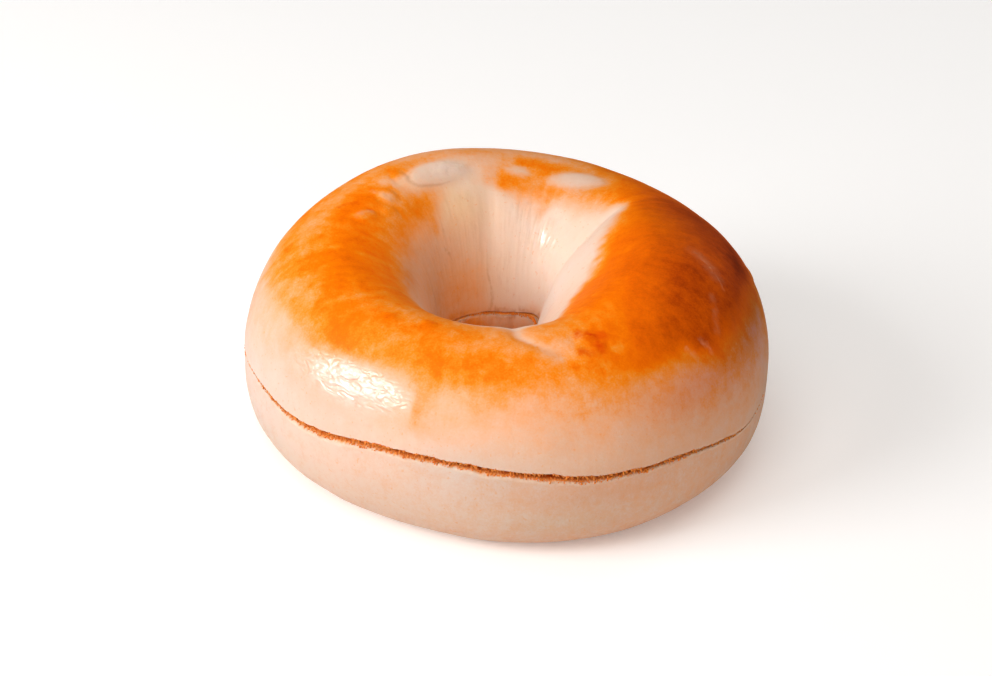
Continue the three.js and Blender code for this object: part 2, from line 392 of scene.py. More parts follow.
topHalf = {"name": "topHalf", "node": "bagel_top", "slot": "browned_crust", "face": topFace,
           "columns": 760, "crustRows": 108, "faceRows": 20, "lip": 0.0,
           "firstEdge": (-30, 60), "lastEdge": (120, 215)}
bottomHalf = {"name": "bottomHalf", "node": "bagel_bottom", "slot": "pale_crust", "face": bottomFace,
              "columns": 760, "crustRows": 84, "faceRows": 22, "lip": 1.0,
              "firstEdge": (120, 215), "lastEdge": (330, 420)}
columnCrowding = 14.0  # degrees that the columns are drawn towards the lap
leanSpread = 30.0  # degrees to each side over which they lean with its crease


def columnBearing(column, turn):
    # columns crowd by the lap and lean with it, so that its crease runs along one of them
    crest = column - columnCrowding * np.sin(np.radians(column))
    lean = (lapBearing(turn) - lap["bearing"]) * near(0, crest, leanSpread)
    return lap["bearing"] + crest + lean


def columnPoints(column, turn, half):
    # the crust, with the torn lip of the bottom half drawn towards the middle of the hole
    bearing = columnBearing(column, turn)
    points = crustPoints(bearing, turn)
    ragged = 1 + 0.9 * smoothNoise(grain(bearing, 0 * bearing, 14), 1.3, 31)
    reach = half["lip"] * cut["lipReach"] * hump(turn - 181, cut["lipSpread"]) * ragged
    toHole = np.stack([hole["x"] - points[..., 0], hole["y"] - points[..., 1]], axis=-1)
    length = np.linalg.norm(toHole, axis=-1, keepdims=True)
    points[..., :2] += toHole / length * reach[..., None]
    return points


def edgeTurn(column, half, limits):
    # the turn at which each column of crust meets the cut face, by halving
    def above(turn):
        points = columnPoints(column, turn, half)
        return points[..., 2] > half["face"](points[..., 0], points[..., 1])
    low = np.full(column.shape, float(limits[0]))
    high = np.full(column.shape, float(limits[1]))
    startsAbove = above(low)
    for halving in range(22):
        middle = (low + high) / 2
        same = above(middle) == startsAbove
        low, high = np.where(same, middle, low), np.where(same, high, middle)
    return (low + high) / 2


def easedSteps(count, crowding):
    # 0 to 1 with the steps at both ends smaller than those in the middle
    even = np.linspace(0, 1, count)
    return even - crowding * np.sin(2 * np.pi * even) / (2 * np.pi)


def halfGrid(half):
    # rows of crust from one cut edge to the other, then rows of crumb back along the cut
    column = np.arange(half["columns"]) * 360.0 / half["columns"]
    first = edgeTurn(column, half, half["firstEdge"])
    last = edgeTurn(column, half, half["lastEdge"])
    steps = easedSteps(half["crustRows"], 0.75)
    turn = first[:, None] + (last - first)[:, None] * steps
    crust = columnPoints(column[:, None] + 0 * turn, turn, half)
    for edge in (0, -1):
        crust[:, edge, 2] = half["face"](crust[:, edge, 0], crust[:, edge, 1])
    across = easedSteps(half["faceRows"] + 2, 0.85)[1:-1, None]
    crumb = crust[:, -1:] * (1 - across) + crust[:, :1] * across
    crumb[..., 2] = half["face"](crumb[..., 0], crumb[..., 1])
    faceTurn = np.repeat(last[:, None], half["faceRows"], axis=1)
    bearing = columnBearing(column[:, None] + 0 * turn, turn)
    faceBearing = bearingOf(crumb[..., 0], crumb[..., 1])
    points = np.concatenate([crust, crumb], axis=1)
    points += np.array([ring["shiftX"], ring["shiftY"], 0])
    # inset is the distance from the cut's edge, less than 0 on the crust and more on the crumb
    place = {
        "bearing": np.concatenate([bearing, faceBearing], axis=1),
        "turn": np.concatenate([turn, faceTurn], axis=1),
        "inset": np.concatenate([-edgeDistance(crust), edgeDistance(crumb) + 0.2], axis=1),
    }
    return points, place


def edgeDistance(crust):
    # millimetres along the crust to the nearer cut edge
    step = np.linalg.norm(np.diff(crust, axis=1), axis=-1)
    fromFirst = np.concatenate([np.zeros((len(crust), 1)), np.cumsum(step, axis=1)], axis=1)
    return np.minimum(fromFirst, fromFirst[:, -1:] - fromFirst)


def closedGridMesh(name, points):
    # quads between neighbours, closed round the ring and round the section
    columns, rows = points.shape[:2]
    here = np.arange(columns * rows).reshape(columns, rows)
    beside = np.roll(here, -1, axis=0)
    quads = np.stack([here, beside, np.roll(beside, -1, axis=1), np.roll(here, -1, axis=1)], axis=-1)
    mesh = bpy.data.meshes.new(name)
    mesh.vertices.add(columns * rows)
    mesh.vertices.foreach_set("co", (points * millimetre).astype(np.float32).ravel())
    mesh.loops.add(quads.size)
    mesh.loops.foreach_set("vertex_index", quads.astype(np.int32).ravel())
    mesh.polygons.add(quads.size // 4)
    mesh.polygons.foreach_set("loop_start", np.arange(0, quads.size, 4, dtype=np.int32))
    mesh.polygons.foreach_set("use_smooth", np.ones(quads.size // 4, dtype=bool))
    mesh.update(calc_edges=True)
    mesh.validate()
    return mesh


def addAttribute(mesh, name, values):
    kind = "FLOAT" if values.ndim == 2 else "FLOAT_VECTOR"
    made = mesh.attributes.new(name, kind, "POINT")
    field = "value" if kind == "FLOAT" else "vector"
    made.data.foreach_set(field, values.astype(np.float32).ravel())


browning = {
    # bearing, turn where the browned crust starts over the girth, turn where it stops in the hole,
    # degrees over which it stops, depth
    "around": [
        (-88, 46, 134, 12, 0.5), (-70, 55, 133, 11, 0.5), (-60, 50, 132, 10, 0.51),
        (-45, 49, 128, 9, 0.5), (-30, 51, 122, 10, 0.48), (-15, 49.5, 112, 9, 0.435),
        (2, 52, 106, 7, 0.39), (12, 54, 110, 7, 0.385), (22, 53, 120, 10, 0.46), (36, 47, 130, 8, 0.57),
        (52, 38, 133, 6, 0.63), (68, 35, 126.5, 6, 0.64), (84, 33, 123.5, 6, 0.64),
        (100, 42, 117, 7, 0.62), (114, 48, 105, 10, 0.58), (121, 54, 96, 10, 0.51),
        (126, 54, 103, 10, 0.46), (142, 58, 112, 13, 0.38), (152, 58, 113, 12, 0.39),
        (160, 58, 126, 10, 0.4), (174, 56, 121, 11, 0.4), (186, 54, 110, 12, 0.36),
        (200, 54, 100, 16, 0.34), (212, 54, 118, 14, 0.41), (222, 54, 133, 14, 0.45),
        (240, 52, 132, 13, 0.46), (262, 48, 132, 13, 0.48),
    ],
    "outerSoft": 12.0,  # degrees over which it starts
    "blush": 0.28, "blushReach": 46.0,  # light tan that fades down over the girth, degrees of turn
    "wander": (6, 4), "innerWander": (2, 2),  # degrees that its edges wander, coarse and fine
    "mottle": (0.10, 0.10, 0.12), "darkCalm": 0.6,  # how uneven it is, and how much less so where dark
    "lapPale": 0.9, "creasePale": 0.65,  # how much paler the bottoms of the two creases are
    # how much tanner the pale dough is on the hole's left wall and its foot, partly painted shade of
    # the left rim, and on the right flank, partly painted shade away from the key light
    "leftWallTanAndShade": 0.24, "footStainAndShade": 0.12, "foot": 0.16, "rightFlankTanAndShade": 0.14,
}
# darker patches, mostly browner crust and one partly painted shade: bearing, turn, half length, half
# width in mm, lean, browning added
bakedAndShadedPatches = [
    # front
    (-27, 91, 1.2, 2.8, 0, 0.16), (-25, 85, 5, 4, 0, 0.05), (-22, 33, 0.8, 3, 0, 0.22),
    (-20.5, 36, 1.5, 5, 0, 0.12), (-12, 84, 5, 3, 30, 0.04), (-11.6, 57, 3.6, 3, 0, 0.09),
    (-6, 65, 3.4, 3.6, 0, 0.08), (8, 56, 4, 3, 0, 0.05), (24, 73.5, 3.4, 4, 0, 0.08),
    (30, 58, 6, 4, 20, 0.03),
    # right
    (50, 42, 3, 6, 12, 0.08), (60, 76, 14, 12, 20, 0.1), (72, 86, 9, 6, 30, 0.08),
    # (92, 44) on the far right is partly painted shade, away from the key light
    (92, 44, 16, 5, 0, 0.26), (118, 70, 22, 8, 0, 0.2),
    # back
    (158, 80, 18, 6, 0, 0.18), (170, 92, 6, 2.4, 0, 0.12), (171, 106, 6, 1.6, 30, 0.14),
    (180, 110, 2.6, 3.2, 0, 0.13), (-173, 116, 3.4, 2.6, 0, 0.9), (192, 84, 16, 3, 0, 0.2),
    # left
    (-108, 92, 5, 1.5, -30, 0.08), (-100, 82, 6, 2, -30, 0.1), (-96, 98, 18, 8, 0, 0.08),
    (-90, 94, 9, 5, 0, 0.06), (-83, 76, 4, 3, 0, 0.06), (-78, 88, 12, 7, 0, 0.05),
    (-58, 66, 3, 5, 10, 0.07), (-53, 73, 4, 3, 0, 0.06), (-51, 62, 4, 3, 0, 0.06),
    (-50, 49, 4, 2.6, 0, 0.1), (-47, 74, 2.4, 4, 0, 0.06), (-44, 54, 7, 2, -8, 0.1),
    (-40, 84, 1, 2.4, 0, 0.1), (-36, 61, 4, 3, 0, 0.1),
]
# paler patches, in the same way, with the share of the browning that each takes away; a few are painted
# reflection or painted highlight
palePatches = [
    # front
    (-15, 38, 3, 3, 0, 0.3), (-13, 42, 2.6, 3, 0, 0.25), (-12, 73, 3, 2, 20, 0.12),
    (-8, 47, 2.5, 2, 0, 0.2), (2, 74, 2, 2.4, 0, 0.12), (13.5, 72, 3.4, 3.4, 0, 0.45),
    (17, 52, 4, 3, 0, 0.2), (17, 78.5, 2.2, 2, 0, 0.35), (19, 31, 5, 3, 0, 0.15),
    (24.5, 70.5, 1.6, 0.5, 0, 0.3), (29, 64.4, 1.5, 1.8, 0, 0.35),
    # right
    (40, 34, 12, 4.6, -10, 0.45), (69, 32, 15, 4, 0, 0.2), (106, 112, 6, 3, 0, 0.15),
    # back
    # (160, 86) and (184, 79) along the back rim paint the pale haze of a grazing reflection
    (151.4, 97, 6.7, 2.9, 37, 0.85), (160, 86, 12, 3, 0, 0.2), (174, 104, 2.4, 1.6, 0, 0.5),
    (175, 102.5, 2.2, 1.4, 0, 0.5), (177, 108, 5, 3, 0, 0.1), (184, 79, 28, 5, 0, 0.5),
    (190, 95, 7, 3, 0, 0.4), (206, 104, 10, 6, 0, 0.55), (210, 104, 7.5, 4.4, 0, 0.9),
    (-131.9, 100.5, 1.8, 1.6, 0, 0.5), (231, 93, 1.6, 2.6, 0, 0.35), (-127, 94, 1.2, 1.6, 0, 0.35),
    # left
    (238, 104, 1.2, 2.6, 15, 0.45), (-122, 111, 6, 4, 0, 0.1), (-118, 78, 6, 3, 0, 0.2),
    # (-105, 75) and (-96, 74) paint the pinkish haze of a grazing reflection along the left rim
    (253, 101, 1.3, 2.4, 25, 0.25), (-105, 75, 12, 5, 20, 0.12), (-96, 74, 12, 4, 12, 0.12),
    (-88, 70, 4, 1.4, 10, 0.16), (-70, 60, 5, 2.4, 20, 0.14), (-62, 62, 5, 4, 0, 0.08),
    # (-37, 36) is paler under the egg wash's shine, partly a painted highlight
    (-62, 90, 5, 1.4, -20, 0.1), (-38, 62, 3, 2, 0, 0.12), (-37, 36, 11, 6, 8, 0.45),
]
# tones of places, multiplied on the colour, some of them painted shade or painted light: bearing, turn,
# spread in bearing, spread in turn, tone
tonesWithPaintedShading = [
    # front
    # the grey tones below the girth, such as (-15, -42), are painted shade on the bottom half
    (-30, -22, 26, 22, (0.92, 0.93, 0.93)), (-15, -42, 75, 34, (0.81, 0.8, 0.8)),
    (-8, 6, 14, 14, (0.88, 0.97, 1.06)), (-5, -10, 55, 18, (0.92, 0.92, 0.92)),
    (8, -20, 16, 12, (0.95, 1.02, 1.04)), (15, 75, 5, 6, (0.96, 0.93, 0.86)),
    (18, -4, 22, 7, (0.95, 0.88, 0.84)), (34, 40, 12, 7, (1, 0.93, 0.84)),
    # right
    # (70, -42) is painted shade on the bottom half; (74, 34), (76, 26) and (96, 88) are painted shade
    # on the right side, away from the key light
    (44, 12, 18, 12, (0.95, 0.93, 0.92)), (44, 30, 15, 12, (0.94, 0.78, 0.74)),
    (66, 28, 20, 15, (0.95, 0.94, 1.06)), (68, 31, 15, 8, (0.87, 0.78, 0.87)),
    (70, -42, 50, 34, (0.92, 0.93, 0.94)), (74, 34, 18, 16, (0.82, 0.8, 0.98)),
    (76, 26, 24, 22, (0.86, 0.86, 0.98)), (80, 103, 16, 12, (0.95, 0.92, 0.9)),
    (84, 38, 10, 12, (0.9, 0.87, 0.92)), (96, 88, 26, 24, (0.86, 0.89, 0.92)),
    # (103, 62) and (118, 64) are partly deeper browning and partly painted shade
    (100, 150, 26, 30, (0.97, 1.06, 1.14)), (103, 62, 14, 10, (0.82, 0.76, 0.5)),
    (118, 64, 26, 16, (0.86, 0.8, 0.65)),
    # back
    # (180, 198) on the bottom half's wall below the cut and (205, 168) at the foot of the hole are
    # partly tan and partly painted shade
    (151, 97, 12, 12, (0.84, 0.87, 0.9)), (165, 155, 55, 32, (1, 1.14, 1.22)),
    (180, 198, 400, 16, (0.74, 0.62, 0.5)), (-160, 128, 16, 14, (1.03, 0.99, 0.86)),
    (205, 168, 24, 16, (0.98, 0.89, 0.74)), (-153, 103, 8, 8, (1.06, 1.14, 1.2)),
    # (-148, 130) and (-125, 130) are painted light on the shaded inner slope at the back left
    (-148, 130, 16, 16, (1.12, 1.1, 1)), (-125, 130, 12, 9, (1.14, 1.02, 0.85)),
    # left
    # (248, 160) and (-85, 138) are painted shade on the hole's left wall; (-106, 126), (-105, 108) and
    # (-80, 112) are painted light on the shaded inner left slope
    (248, 160, 32, 24, (0.82, 0.88, 0.94)), (-106, 126, 9, 8, (1.07, 1, 1)),
    (-105, 108, 40, 20, (1.1, 1.05, 0.9)), (-88, 100, 14, 10, (0.96, 0.95, 0.9)),
    (-86, 12, 24, 34, (0.97, 1.02, 1.1)), (-85, 138, 18, 9, (0.88, 0.8, 0.7)),
    (-80, 112, 26, 13, (1.08, 1.06, 0.85)), (-77, 93, 13, 12, (1.07, 1.2, 1)),
    (-68, -14, 16, 24, (0.9, 0.95, 0.98)), (-50, 26, 26, 26, (0.97, 0.87, 0.9)),
]


# fine strokes on the crust: from bearing and turn, to bearing and turn, half width in mm, strength
# (the render engine turns a material black past about forty of them)
strokes = {
    # milky dried glaze and raised wrinkles; the first three, along the right rim, are partly a painted
    # sheen
    "frostAndSheen": [
        (78, 70, 72.4, 57.6, 2.2, 0.24), (75.4, 66.4, 73, 59.4, 0.6, 0.45),
        (73.4, 58.4, 69.7, 52.2, 0.5, 0.35), (63.9, 55, 56.7, 43.6, 1, 0.16),
        (45.5, 46.9, 46.8, 39.9, 0.7, 0.35), (50.4, 46.5, 51.5, 37.8, 0.7, 0.3),
        (51.9, 25, 47.7, 17.9, 0.8, 0.25), (-120.9, 95, -122.1, 106.9, 1, 0.8),
        (-104.9, 97.2, -110.2, 103.7, 1, 0.5), (-162, 102.6, -168.3, 96.9, 1.4, 0.45),
        (-168.3, 96.9, -174.1, 92.8, 1.6, 0.45), (4.4, 107, 6.5, 95, 0.6, 0.5),
        (6.5, 95, 11.2, 79.6, 0.7, 0.5), (0, 44, 0, 12, 0.5, 0.3),
    ],
    # reddish scorched scars
    "scorch": [
        (21.4, 81.8, 26.7, 74.8, 1.9, 1), (25.8, 75, 24.5, 69.9, 2.1, 0.8),
        (19.5, 69.5, 21.5, 67.2, 1.3, 0.7), (21.5, 67.2, 24.3, 65.5, 1.4, 0.7),
        (-108.1, 84.2, -111.9, 92.9, 1, 0.5),
    ],
    # thin brown creases, and dark strokes round the foot of the hole, partly brown stain and partly
    # painted shade of the gap between the halves
    "crease": [
        (-170.6, 161.3, -174.1, 173.9, 0.9, 0.35), (-174.1, 173.9, -172, 180, 1, 0.35),
        (-176, 181, 170, 182, 1.2, 0.7), (166, 180, 156, 181, 1, 0.5), (150, 180, 143, 181, 1.3, 0.8),
        (-120, 180, -150, 181, 1.6, 0.5), (-140.1, 146.4, -144.1, 152.6, 0.5, 0.4),
        (85.3, 152.7, 80.9, 149.5, 0.5, 0.35),
    ],
}


def toneWithShadingOf(bearing, turn):
    # white, multiplied by each place's tone as far as its bell reaches; some tones are painted shade or
    # painted light
    turn = np.where(turn > 270, turn - 360, turn)
    tone = np.ones(turn.shape + (3,))
    for atBearing, atTurn, width, height, color in tonesWithPaintedShading:
        weight = near(atBearing, bearing, width) * hump(turn - atTurn, height)
        tone *= 1 + weight[..., None] * (np.array(color) - 1)
    return tone


def browningOf(bearing, turn, place):
    # a band over the crest with wandering edges and a blush below it, plus patches, less pale patches
    turn = np.where(turn > 270, turn - 360, turn)
    keys = np.array(browning["around"]).T
    outer, inner, innerSoft, depth = (
        np.interp(bearing % 360, keys[0] % 360, row, period=360) for row in keys[1:])
    coarse, fine = browning["wander"]
    outer = outer + smoothNoise(place, 9, 41) * coarse + smoothNoise(place, 3.6, 42) * fine
    coarse, fine = browning["innerWander"]
    inner = inner + smoothNoise(place, 5, 43) * coarse + smoothNoise(place, 1.4, 48) * fine
    outerSoft = browning["outerSoft"]
    blush = browning["blush"] * (1 - 0.2 * near(-85, bearing, 45))  # less on the left
    amount = (depth - blush) * ramp(turn, outer - outerSoft, outer + outerSoft)
    amount += blush * ramp(turn, outer - browning["blushReach"], outer + 2)
    large, small, streak = browning["mottle"]
    mottle = large * smoothNoise(place, 8, 44) + small * smoothNoise(place, 3.6, 45)
    mottle += streak * smoothNoise(grain(bearing, turn * 0.4), 1.6, 46)
    amount *= 1 + mottle * (1 - browning["darkCalm"] * ramp(depth, 0.52, 0.62))
    fromHole = 30 + 22 * np.cos(np.radians(np.clip(turn, 0, 180)))  # roughly, in millimetres
    for *spot, added in bakedAndShadedPatches:
        amount += added * hump(fromSpot(bearing, turn, spot, fromHole), 1)
    amount *= 1 - ramp(turn, inner - innerSoft, inner + innerSoft)
    for *spot, share in palePatches:
        amount *= 1 - share * np.exp(-fromSpot(bearing, turn, spot, fromHole) ** 4)
    nearLap = bearingGap(lapBearing(turn), bearing) * np.radians(fromHole)
    amount *= 1 - browning["lapPale"] * hump(nearLap, 1.9) * ramp(turn, 92, 104)
    nearCrease = bearingGap(frontCreaseBearing(turn), bearing) * np.radians(fromHole)
    amount *= 1 - browning["creasePale"] * hump(nearCrease - 0.2, 0.9) * ramp(turn, 66, 84)
    # tan on the hole's left wall and foot and on the right flank, partly painted shade
    tan = browning["leftWallTanAndShade"] * near(248, bearing, 56) * ramp(turn, 116, 150)
    ragged = 4 * smoothNoise(place, 3, 47)
    around = bearing % 360
    stainedAndShaded = ramp(around + ragged, 184, 198) * (1 - ramp(around, 205, 260))
    tan += browning["footStainAndShade"] * stainedAndShaded * ramp(turn, 146, 168)
    tan += browning["foot"] * ramp(turn + ragged, 174, 186) * (1 - ramp(turn, 215, 250))
    tan += browning["rightFlankTanAndShade"] * near(50, bearing, 65) * (1 - ramp(turn, 60, 90))
    return np.clip(amount + tan, 0, 1.1)


print("formulas ready")


def fromDisplay(color):
    # a display colour of 0 to 255 in linear light, opaque
    def linear(value):
        value = value / 255
        return value / 12.92 if value <= 0.04045 else ((value + 0.055) / 1.055) ** 2.4
    return *(linear(value) for value in color), 1


class NodeValue:
    # an output socket whose sums, differences and products add their Math nodes
    def __init__(self, maker, socket):
        self.maker = maker
        self.socket = socket

    def math(self, operation, other, swapped=False):
        first, second = (other, self) if swapped else (self, other)
        return self.maker.node("ShaderNodeMath", {"operation": operation}, {0: first, 1: second})

    def __add__(self, other):
        return self.math("ADD", other)

    __radd__ = __add__

    def __sub__(self, other):
        return self.math("SUBTRACT", other)

    def __rsub__(self, other):
        return self.math("SUBTRACT", other, True)

    def __mul__(self, other):
        return self.math("MULTIPLY", other)

    __rmul__ = __mul__

    def __abs__(self):
        return self.maker.node("ShaderNodeMath", {"operation": "ABSOLUTE"}, {0: self})

    def limited(self, low, high, start=0.0, end=1.0):
        # start below low, end above high, in proportion between them
        sockets = {0: self, 1: low, 2: high, 3: start, 4: end}
        return self.maker.node("ShaderNodeMapRange", {"clamp": True}, sockets)

    def vector(self, operation, other=(0, 0, 0), scale=1.0, output=0):
        settings = {"operation": operation}
        return self.maker.node("ShaderNodeVectorMath", settings, {0: self, 1: other, 3: scale}, output)


class NodeMaker:
    # a material and the one method that adds its nodes
    def __init__(self, name):
        self.material = bpy.data.materials.new(name)
        self.material.use_nodes = True
        self.tree = self.material.node_tree
        self.tree.nodes.clear()

    def node(self, kind, settings=None, sockets=None, output=0):
        made = self.tree.nodes.new(kind)
        for key, value in (settings or {}).items():
            if key == "stops":
                self.setStops(made.color_ramp, value)
            else:
                setattr(made, key, value)
        for key, value in (sockets or {}).items():
            if isinstance(value, NodeValue):
                self.tree.links.new(value.socket, made.inputs[key])
            else:
                made.inputs[key].default_value = value
        return NodeValue(self, made.outputs[output]) if made.outputs else made

    def setStops(self, colorRamp, stops):
        colorRamp.interpolation = "LINEAR"
        while len(colorRamp.elements) < len(stops):
            colorRamp.elements.new(0.5)
        for element, (position, color) in zip(colorRamp.elements, stops):
            element.position = position
            element.color = fromDisplay(color)

    def finished(self, surface):
        self.node("ShaderNodeOutputMaterial", {}, {"Surface": surface})
        return self.material

    def attribute(self, name, output="Fac"):
        return self.node("ShaderNodeAttribute", {"attribute_name": name}, output=output)

    def noise(self, scale, detail=3.0, roughness=0.5, vector=None, stretch=(1, 1, 1), swirl=0.0):
        place = vector or self.node("ShaderNodeTexCoord", output="Object")
        moved = self.node("ShaderNodeMapping", {}, {"Vector": place, "Scale": stretch})
        sockets = {"Vector": moved, "Scale": scale, "Detail": detail, "Roughness": roughness,
                   "Distortion": swirl}
        return self.node("ShaderNodeTexNoise", {}, sockets)

    def mixed(self, factor, first, second, blend="MIX"):
        settings = {"data_type": "RGBA", "blend_type": blend}
        return self.node("ShaderNodeMix", settings, {0: factor, 6: first, 7: second}, output=2)

    def painted(self, under, cover, color):
        # a plain display colour laid over another as thickly as cover says
        return self.mixed(cover, under, fromDisplay(color))


# colours are display colours
dough = {
    # browning from raw to scorched
    "bake": [(0, (238, 205, 183)), (0.12, (238, 188, 155)), (0.24, (242, 174, 128)),
             (0.36, (245, 155, 78)), (0.47, (247, 138, 27)), (0.58, (248, 120, 0)),
             (0.69, (238, 105, 0)), (0.79, (218, 90, 0)), (0.89, (190, 70, 0)), (1, (140, 42, 0))],
    # torn crumb from the edge of the cut inwards, darker and more orange deeper in, partly as painted
    # shade of the gap
    "crumb": [(0, (240, 196, 158)), (0.3, (238, 160, 92)), (0.65, (228, 128, 48)),
              (1, (214, 108, 30))],
    # the frost colour also paints the sheen along the right rim
    "edge": (250, 228, 208), "blister": (230, 200, 182), "frostAndSheen": (238, 176, 132),
    # the first colour on this line whitens the egg wash as a painted highlight
    "highlightWhite": (250, 226, 212), "scorch": (220, 62, 0), "hair": (190, 118, 66),
    # how far each noise shifts the browning, and how much less so where it is dark and in the hole
    "blotches": 0.30, "patches": 0.36, "streaks": 0.22, "specks": 0.25, "freckles": 0.10,
    "darkCalm": 0.52, "hollowCalm": 0.4,
    # bumps in millimetres
    "ripple": 0.03, "bakedRipple": 0.06, "fine": 0.014, "crumbBump": 0.4, "frostBump": 0.1,
    "curlBump": 0.65, "pleatBump": 0.22,
    # the satin crust and the shiny egg wash
    "satinRough": 0.60, "satinGloss": 0.12, "washRough": 0.20, "washGloss": 0.8, "washMost": 0.8,
    "index": 1.45, "scatter": 0.12, "scatterRadius": (0.0025, 0.0012, 0.0006),
}


def strokeMask(maker, place, kind):
    # on every stroke: distance to the line between its ends, turned into strength by its half width
    mask = None
    for fromBearing, fromTurn, toBearing, toTurn, width, strength in strokes[kind]:
        start = grain(fromBearing, fromTurn)
        run = grain(toBearing, toTurn) - start
        toHere = place.vector("SUBTRACT", tuple(start))
        share = (toHere.vector("DOT_PRODUCT", tuple(run), output=1) * (1 / (run @ run))).limited(0, 1)
        nearest = maker.node("ShaderNodeVectorMath", {"operation": "SCALE"}, {0: tuple(run), 3: share})
        distance = toHere.vector("SUBTRACT", nearest).vector("LENGTH", output=1)
        stroke = distance.limited(0, width, strength, 0.0)
        mask = mask.math("MAXIMUM", stroke) if mask else stroke
    return mask


def makeCrust(name, edgePaleness, unevenness):
    # the browning, made uneven by blotches, streaks and freckles, picks from the baking ramp and the
    # place's tone, partly painted shade and light, multiplies it; hairs in the hole, blister skins, a
    # painted highlight, strokes and torn crumb lie over it
    maker = NodeMaker(name)
    names = ("browning", "inset", "blister", "outline", "glaze", "hollow")
    brown, inset, blister, outline, glaze, hollow = (maker.attribute(name) for name in names)
    tone = maker.attribute("tone", "Vector")
    along = maker.attribute("grain", "Vector")
    blotches = maker.noise(220, 4, 0.6)
    patches = maker.noise(560, 3, 0.6)
    streaks = maker.noise(0.55, 3, 0.6, along, (1, 1, 0.4))
    specks = maker.noise(2400, 2, 0.5)
    freckles = maker.noise(1300, 1, 0.5).limited(0.68, 0.74)
    strands = maker.noise(2.2, 3, 0.7, along, (1, 1, 0.12))
    wander = (blotches - 0.5) * dough["blotches"] + (patches - 0.5) * dough["patches"]
    wander = wander + (streaks - 0.5) * dough["streaks"] + (specks - 0.5) * dough["specks"]
    baked = brown.limited(0.05, 0.5)
    calm = (1 - brown.limited(0.50, 0.66) * dough["darkCalm"]) * (1 - hollow * dough["hollowCalm"])
    level = brown + wander * (baked * (1 - unevenness) + unevenness) * calm
    level = level + freckles * (1 - baked) * dough["freckles"]
    skin = maker.node("ShaderNodeValToRGB", {"stops": dough["bake"]}, {0: level})
    # the tones multiply the colour, with painted shade and painted light among them
    skin = maker.mixed(1.0, skin, tone, "MULTIPLY")
    # thin brown hairs where a noise passes through its middle, broken up by the blotches
    hairs = (1 - abs(maker.noise(0.28, 2, 0.6, along, (1, 1, 0.3)) - 0.5) * 30).limited(0, 1)
    skin = maker.painted(skin, hairs * hollow * blotches.limited(0.50, 0.62) * 0.12, dough["hair"])
    # the blisters' pale skins, and a brown ring round part of each
    film = 1 - blister.limited(-1.8, 0.6)
    skin = maker.painted(skin, film * (0.75 - patches * 0.5), dough["blister"])
    outlined = (1 - abs(blister + (patches - 0.5) * 0.8) * 2.0).limited(0, 1)
    skin = maker.painted(skin, outlined * outline * 0.3, dough["hair"])
    # a painted highlight: the egg wash is painted milky white between its curls, outside the hole
    curls = maker.noise(0.70, 2, 0.5, along, (0.6, 0.6, 1), 1.0)
    paintedHighlight = glaze * (1 - hollow) * curls.limited(0.35, 0.60, 0.20, 0.70)
    skin = maker.painted(skin, paintedHighlight, dough["highlightWhite"])
    # strokes are drawn on a place nudged by noise, so that they waver
    sockets = {"Vector": along, "Scale": 0.8, "Detail": 2.0}
    shaken = maker.node("ShaderNodeTexNoise", {}, sockets, output=1)
    place = along.vector("ADD", shaken.vector("SUBTRACT", (0.5, 0.5, 0.5)).vector("SCALE", scale=1.6))
    # frost strokes are pale marks, and along the right rim partly a painted sheen
    frostAndSheen = strokeMask(maker, place, "frostAndSheen") * patches.limited(0.30, 0.62)
    skin = maker.painted(skin, frostAndSheen, dough["frostAndSheen"])
    scorch = strokeMask(maker, place, "scorch") * patches.limited(0.2, 0.6)
    skin = maker.painted(skin, scorch, dough["scorch"])
    # the crease strokes round the foot of the hole are partly painted shade of the gap between the
    # halves
    crease = strokeMask(maker, place, "crease") * patches.limited(0.3, 0.5)
    skin = maker.painted(skin, crease, dough["hair"])
    # a pale rim beside the cut, then crumb, which darkens inwards, partly as painted shade deep in the
    # gap
    rim = inset.limited(-0.8, -0.1) * patches.limited(0.35, 0.6)
    skin = maker.painted(skin, rim * edgePaleness, dough["edge"])
    torn = (inset + (strands - 0.5) * 1.2).limited(-0.15, 0.35)
    deep = (inset + (strands - 0.5) * 1.6).limited(0.0, 1.8)
    inside = maker.node("ShaderNodeValToRGB", {"stops": dough["crumb"]}, {0: deep})
    color = maker.mixed(torn, skin, inside)
    # ripples and fine grain on the crust, strands in the crumb, ridges on the milky strokes
    ripple = maker.noise(900, 3, 0.55)
    fine = maker.noise(4000, 2, 0.5)
    height = ripple * (baked * dough["bakedRipple"] + dough["ripple"]) + fine * dough["fine"]
    height = height + torn * strands * dough["crumbBump"] + frostAndSheen * dough["frostBump"]
    # the egg wash is curled outside the hole and pleated in it
    pleats = maker.noise(0.8, 1, 0.5, along, (1, 1, 0.22))
    wash = curls * (1 - hollow) * dough["curlBump"] + pleats * hollow * dough["pleatBump"]
    height = height + wash * glaze
    bump = maker.node("ShaderNodeBump", {}, {"Strength": 1.0, "Distance": millimetre, "Height": height})
    common = {"Base Color": color, "Normal": bump, "IOR": dough["index"],
              "Subsurface Weight": dough["scatter"], "Subsurface Radius": dough["scatterRadius"],
              "Subsurface Scale": 1.0}
    rough = dough["satinRough"] + (ripple - 0.5) * 0.12 + torn * 0.2
    satin = maker.node("ShaderNodeBsdfPrincipled", {}, {
        **common, "Roughness": rough, "Specular IOR Level": dough["satinGloss"]})
    glossy = maker.node("ShaderNodeBsdfPrincipled", {}, {
        **common, "Roughness": dough["washRough"], "Specular IOR Level": dough["washGloss"]})
    # the dried egg wash shines in broken patches
    shine = (glaze * 1.3 + (patches - 0.5) * 1.6).limited(0.25, 1.0, 0.0, dough["washMost"])
    surface = maker.node("ShaderNodeMixShader", {}, {0: shine * (1 - torn), 1: satin, 2: glossy})
    return maker.finished(surface)


